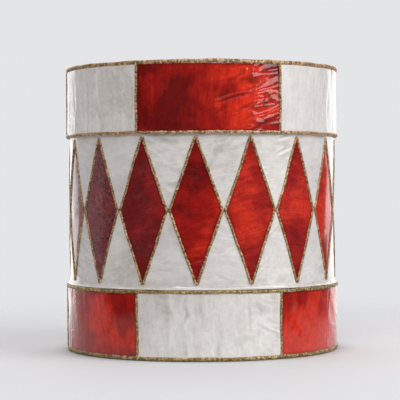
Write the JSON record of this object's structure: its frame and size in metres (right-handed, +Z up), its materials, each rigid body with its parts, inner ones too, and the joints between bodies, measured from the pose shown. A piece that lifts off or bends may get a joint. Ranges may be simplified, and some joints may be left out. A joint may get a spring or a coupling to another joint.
{
  "type": "drum candle lantern",
  "caption": "Open-topped drum lantern: red shell diamonds on white shell between proud panelled bands, gold cord over every joint, lift-out candle dish.",
  "frame": {"origin": "middle of the flat underside of the glass, on the drum's axis", "axes": "+Z up along the drum's axis; the front, with the band panel and the diamond that face the viewer, looks along -Y; +X is to the viewer's right"},
  "size_m": [0.203, 0.2028, 0.2083],
  "materials": {
    "red_shell": "deep red dyed capiz shell under clear gloss resin, with fine growth lines",
    "white_shell": "pearly grey-white capiz shell under clear gloss resin, with faint growth lines",
    "gold_cord": "granular metallic gold cord",
    "clear_glass": "clear soda glass",
    "milky_strip": "milky translucent strip",
    "spun_brass": "spun brass, satin"
  },
  "bodies": {
    "lantern": {"glass_cylinder": "clear_glass", "upper_band_backing": "milky_strip", "lower_band_backing": "milky_strip", "upper_band_red_panel_1": "red_shell", "upper_band_red_panel_2": "red_shell", "upper_band_red_panel_3": "red_shell", "upper_band_white_panel_1": "white_shell", "upper_band_white_panel_2": "white_shell", "upper_band_white_panel_3": "white_shell", "lower_band_red_panel_1": "red_shell", "lower_band_red_panel_2": "red_shell", "lower_band_red_panel_3": "red_shell", "lower_band_white_panel_1": "white_shell", "lower_band_white_panel_2": "white_shell", "lower_band_white_panel_3": "white_shell", "red_diamond_01": "red_shell", "red_diamond_02": "red_shell", "red_diamond_03": "red_shell", "red_diamond_04": "red_shell", "red_diamond_05": "red_shell", "red_diamond_06": "red_shell", "red_diamond_07": "red_shell", "red_diamond_08": "red_shell", "red_diamond_09": "red_shell", "red_diamond_10": "red_shell", "red_diamond_11": "red_shell", "red_diamond_12": "red_shell", "red_diamond_13": "red_shell", "red_diamond_14": "red_shell", "red_diamond_15": "red_shell", "red_diamond_16": "red_shell", "white_ground_upper": "white_shell", "white_ground_lower": "white_shell", "diamond_cord_01": "gold_cord", "diamond_cord_02": "gold_cord", "diamond_cord_03": "gold_cord", "diamond_cord_04": "gold_cord", "diamond_cord_05": "gold_cord", "diamond_cord_06": "gold_cord", "diamond_cord_07": "gold_cord", "diamond_cord_08": "gold_cord", "diamond_cord_09": "gold_cord", "diamond_cord_10": "gold_cord", "diamond_cord_11": "gold_cord", "diamond_cord_12": "gold_cord", "diamond_cord_13": "gold_cord", "diamond_cord_14": "gold_cord", "diamond_cord_15": "gold_cord", "diamond_cord_16": "gold_cord", "upper_band_cords": "gold_cord", "lower_band_cords": "gold_cord"},
    "dish": {"candle_dish": "spun_brass"}
  },
  "joints": [
    {"name": "dish_lift", "type": "slide", "parent": "lantern", "child": "dish", "axis": [0, 0, 1], "range_m": [0, 0.215]}
  ]
}
